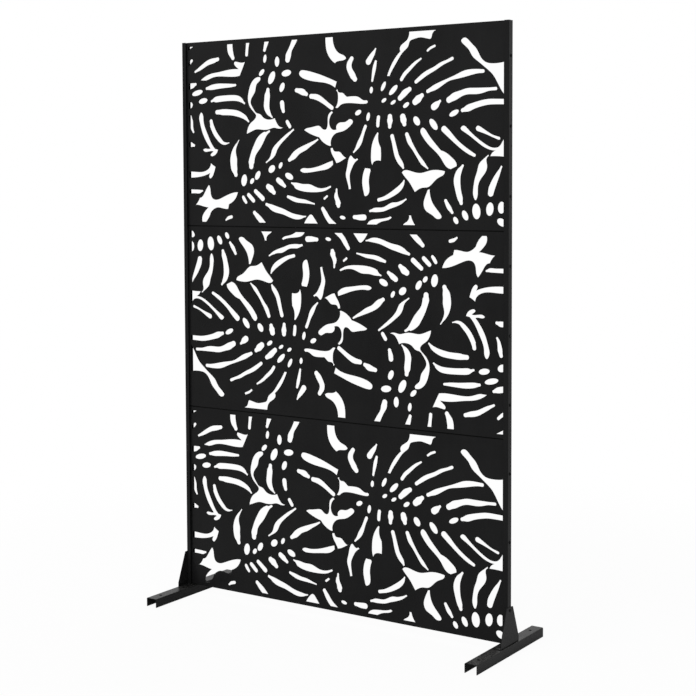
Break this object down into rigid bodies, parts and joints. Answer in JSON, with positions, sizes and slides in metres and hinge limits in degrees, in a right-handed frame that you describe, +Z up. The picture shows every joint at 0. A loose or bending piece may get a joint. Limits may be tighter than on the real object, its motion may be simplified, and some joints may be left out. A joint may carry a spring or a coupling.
{
  "type": "laser cut metal screen",
  "caption": "Free-standing black metal privacy screen: stacked sheet panels with overlapping leaf cut-outs, held between channel posts on bracketed channel feet.",
  "frame": {"origin": "on the floor, half way between the two posts, at the middle of their depth", "axes": "+X along the screen to the right of someone facing its recessed front face, +Y away from them through the screen, +Z up"},
  "size_m": [1.214, 0.416, 1.83],
  "materials": {
    "black_powder_coat": "fine satin powder coat, black",
    "black_screw_steel": "black coated steel",
    "zinc_plated_steel": "bright zinc plate"
  },
  "bodies": {
    "root": {"base_nuts_left": "zinc_plated_steel", "base_nuts_right": "zinc_plated_steel", "base_screws_left": "black_screw_steel", "base_screws_right": "black_screw_steel", "bracket_left": "black_powder_coat", "bracket_nut_left": "zinc_plated_steel", "bracket_nut_right": "zinc_plated_steel", "bracket_right": "black_powder_coat", "bracket_screw_left": "black_screw_steel", "bracket_screw_right": "black_screw_steel", "foot_left": "black_powder_coat", "foot_right": "black_powder_coat", "panel_bottom": "black_powder_coat", "panel_middle": "black_powder_coat", "panel_top": "black_powder_coat", "post_left": "black_powder_coat", "post_right": "black_powder_coat", "side_nuts_bottom_left": "zinc_plated_steel", "side_nuts_bottom_right": "zinc_plated_steel", "side_nuts_middle_left": "zinc_plated_steel", "side_nuts_middle_right": "zinc_plated_steel", "side_nuts_top_left": "zinc_plated_steel", "side_nuts_top_right": "zinc_plated_steel", "side_screws_bottom_left": "black_screw_steel", "side_screws_bottom_right": "black_screw_steel", "side_screws_middle_left": "black_screw_steel", "side_screws_middle_right": "black_screw_steel", "side_screws_top_left": "black_screw_steel", "side_screws_top_right": "black_screw_steel"}
  },
  "joints": []
}
